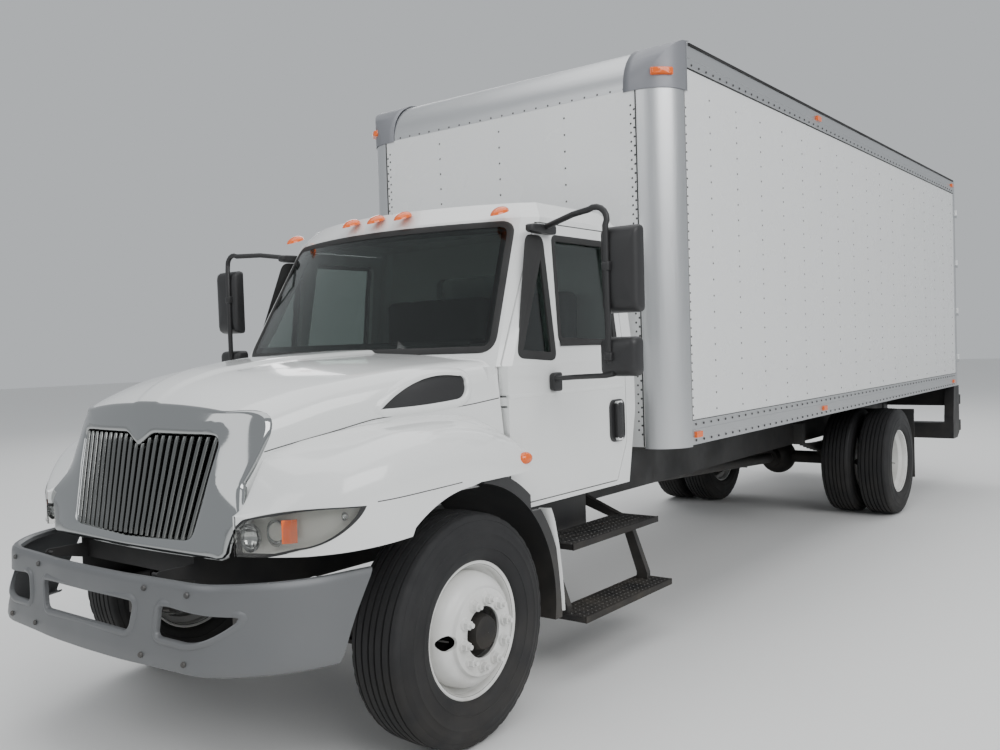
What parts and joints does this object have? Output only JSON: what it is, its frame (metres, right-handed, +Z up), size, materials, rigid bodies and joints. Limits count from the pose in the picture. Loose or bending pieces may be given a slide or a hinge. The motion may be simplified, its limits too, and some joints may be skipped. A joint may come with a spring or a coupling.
{
  "type": "box truck",
  "caption": "Two-axle box truck with a day cab, tilting hood, steered front wheels, twin rear wheels and a dry cargo box with swinging rear doors.",
  "frame": {"origin": "on the ground, at the centre of the bounding box's base", "axes": "-Y forward, +X towards the truck's left side, +Z up"},
  "size_m": [3.173, 10.23, 3.5046],
  "materials": {
    "chassis_black": "satin",
    "cab_white": "gloss",
    "hood_white": "gloss",
    "wheel_white": "satin",
    "tyre": "matte",
    "bumper_grey": "satin",
    "chrome": "polished",
    "black_plastic": "matte",
    "rubber": "matte",
    "glass": "gloss",
    "lamp": "gloss",
    "cast_iron": "matte",
    "steel": "satin",
    "box_white": "satin",
    "box_aluminium": "brushed",
    "wood_floor": "satin",
    "trim_grey": "matte",
    "seat_cloth": "matte"
  },
  "bodies": {
    "chassis": {"battery_box": "black_plastic", "box_floor": "wood_floor", "box_panels": "box_white", "box_roof": "box_aluminium", "cab_glass": "glass", "cab_shell": "cab_white", "cab_steps": "black_plastic", "corner_posts": "box_aluminium", "dashboard": "trim_grey", "dock_blocks": "rubber", "drive_shaft": "steel", "engine_block": "cast_iron", "exhaust": "steel", "front_axle": "cast_iron", "front_bumper": "bumper_grey", "front_nose": "box_aluminium", "fuel_tank": "box_aluminium", "ladder_frame": "chassis_black", "leaf_springs": "steel", "marker_lamps": "lamp", "mud_flaps": "rubber", "radiator": "box_aluminium", "rear_axle": "cast_iron", "rear_frame": "box_aluminium", "rear_guard": "chassis_black", "seats": "seat_cloth", "side_rails": "box_aluminium", "splash_shields": "black_plastic"},
    "hood": {"hood": "hood_white", "grille_surround": "chrome", "grille_bars": "chrome", "front_lamps": "lamp", "vent_screens": "black_plastic"},
    "door_left": {"door_left": "cab_white", "door_glass_left": "glass", "mirror_left": "black_plastic"},
    "knuckle_left": {"knuckle_left": "cast_iron"},
    "rear_door_left": {"rear_door_left": "box_white"},
    "wheel_front_left": {"tyre_front_left": "tyre", "wheel_front_left": "wheel_white"},
    "wheel_rear_left": {"tyre_rear_left": "tyre", "wheel_rear_left": "wheel_white"},
    "door_right": {"door_right": "cab_white", "door_glass_right": "glass", "mirror_right": "black_plastic"},
    "knuckle_right": {"knuckle_right": "cast_iron"},
    "rear_door_right": {"rear_door_right": "box_white"},
    "wheel_front_right": {"tyre_front_right": "tyre", "wheel_front_right": "wheel_white"},
    "wheel_rear_right": {"tyre_rear_right": "tyre", "wheel_rear_right": "wheel_white"},
    "tie_rod": {"tie_rod": "steel"}
  },
  "joints": [
    {"name": "hood_tilt", "type": "hinge", "parent": "chassis", "child": "hood", "pos_m": [0, -5.04, 0.885], "axis": [1, 0, 0], "range_deg": [0, 75]},
    {"name": "door_left_swing", "type": "hinge", "parent": "chassis", "child": "door_left", "pos_m": [1.003, -3.513, 1.3], "axis": [0, 0, -1], "range_deg": [0, 65]},
    {"name": "steer_left", "type": "hinge", "parent": "chassis", "child": "knuckle_left", "pos_m": [0.87, -3.985, 0.51], "axis": [0, 0, 1], "range_deg": [-35, 35]},
    {"name": "front_wheel_left_roll", "type": "hinge", "parent": "knuckle_left", "child": "wheel_front_left", "pos_m": [1.021, -3.985, 0.51], "axis": [1, 0, 0], "continuous": true},
    {"name": "rear_wheel_left_roll", "type": "hinge", "parent": "chassis", "child": "wheel_rear_left", "pos_m": [1.086, 2.467, 0.51], "axis": [1, 0, 0], "continuous": true},
    {"name": "rear_door_left_swing", "type": "hinge", "parent": "chassis", "child": "rear_door_left", "pos_m": [1.222, 4.987, 2.3], "axis": [0, 0, -1], "range_deg": [0, 265]},
    {"name": "door_right_swing", "type": "hinge", "parent": "chassis", "child": "door_right", "pos_m": [-1.003, -3.513, 1.3], "axis": [0, 0, 1], "range_deg": [0, 65]},
    {"name": "steer_right", "type": "hinge", "parent": "chassis", "child": "knuckle_right", "pos_m": [-0.87, -3.985, 0.51], "axis": [0, 0, 1], "range_deg": [-35, 35]},
    {"name": "front_wheel_right_roll", "type": "hinge", "parent": "knuckle_right", "child": "wheel_front_right", "pos_m": [-1.021, -3.985, 0.51], "axis": [1, 0, 0], "continuous": true},
    {"name": "rear_wheel_right_roll", "type": "hinge", "parent": "chassis", "child": "wheel_rear_right", "pos_m": [-1.086, 2.467, 0.51], "axis": [1, 0, 0], "continuous": true},
    {"name": "rear_door_right_swing", "type": "hinge", "parent": "chassis", "child": "rear_door_right", "pos_m": [-1.222, 4.987, 2.3], "axis": [0, 0, 1], "range_deg": [0, 265]},
    {"name": "tie_rod_swing", "type": "hinge", "parent": "knuckle_left", "child": "tie_rod", "pos_m": [0.87, -3.77, 0.39], "axis": [0, 0, 1], "range_deg": [-35, 35]}
  ],
  "couplings": [
    {"joint": "steer_right", "follows": "steer_left", "ratio": 1},
    {"joint": "tie_rod_swing", "follows": "steer_left", "ratio": -1}
  ]
}
